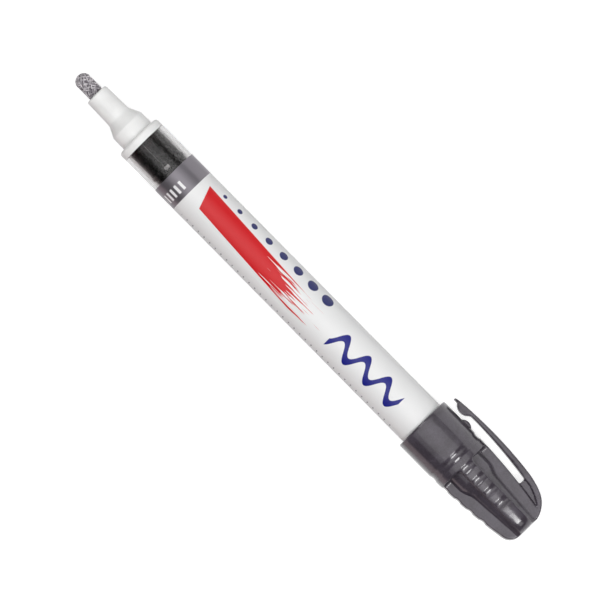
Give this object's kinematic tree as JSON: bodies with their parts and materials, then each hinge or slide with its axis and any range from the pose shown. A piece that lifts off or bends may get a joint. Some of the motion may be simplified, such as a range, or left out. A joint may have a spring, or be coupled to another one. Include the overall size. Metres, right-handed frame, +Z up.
{
  "type": "paint marker",
  "caption": "Valve-action paint marker with a felt bullet nib, white nozzle, clear-windowed labelled barrel and a dark fluted cap with pocket clip pushed on its tail.",
  "frame": {"origin": "on the marker's axis, in the middle of the bare label where a hand or a holder grips it", "axes": "+X along the axis from the nib towards the cap, +Z up as the marker lies on a table on its cap's skirt and clip, +Y to the side the clip leans to"},
  "size_m": [0.1595, 0.018, 0.0157],
  "materials": {
    "felt": "pressed fibre stained with grey paint",
    "white_plastic": "satin moulded",
    "black_plastic": "glossy moulded",
    "seal_rubber": "matt",
    "stem_plastic": "satin moulded",
    "spring_steel": "drawn wire",
    "clear_plastic": "clear, glossy",
    "label_film": "printed satin film",
    "paint": "grey metallic liquid",
    "ball_steel": "polished",
    "cap_plastic": "dark grey pearl",
    "cap_foam": "soft sealing washer"
  },
  "bodies": {
    "barrel": {"barrel": "clear_plastic", "label": "label_film", "nozzle": "white_plastic", "valve_housing": "black_plastic", "valve_seal": "seal_rubber", "valve_spring": "spring_steel", "spring_retainer": "stem_plastic", "paint": "paint", "end_plug": "white_plastic"},
    "nib": {"nib": "felt", "valve_stem": "stem_plastic"},
    "cap": {"cap": "cap_plastic", "cap_seal": "cap_foam"},
    "mixing_ball": {"mixing_ball": "ball_steel"}
  },
  "joints": [
    {"name": "nib_press", "type": "slide", "parent": "barrel", "child": "nib", "axis": [1, 0, 0], "range_m": [0, 0.0015], "stiffness_N_per_m": 800, "springref_m": -0.00125, "deforming": ["valve_spring"]},
    {"name": "cap_pull", "type": "slide", "parent": "barrel", "child": "cap", "axis": [1, 0, 0], "range_m": [0, 0.02]},
    {"name": "ball_roll", "type": "slide", "parent": "barrel", "child": "mixing_ball", "axis": [1, 0, 0], "range_m": [-0.0395, 0.0395]}
  ]
}
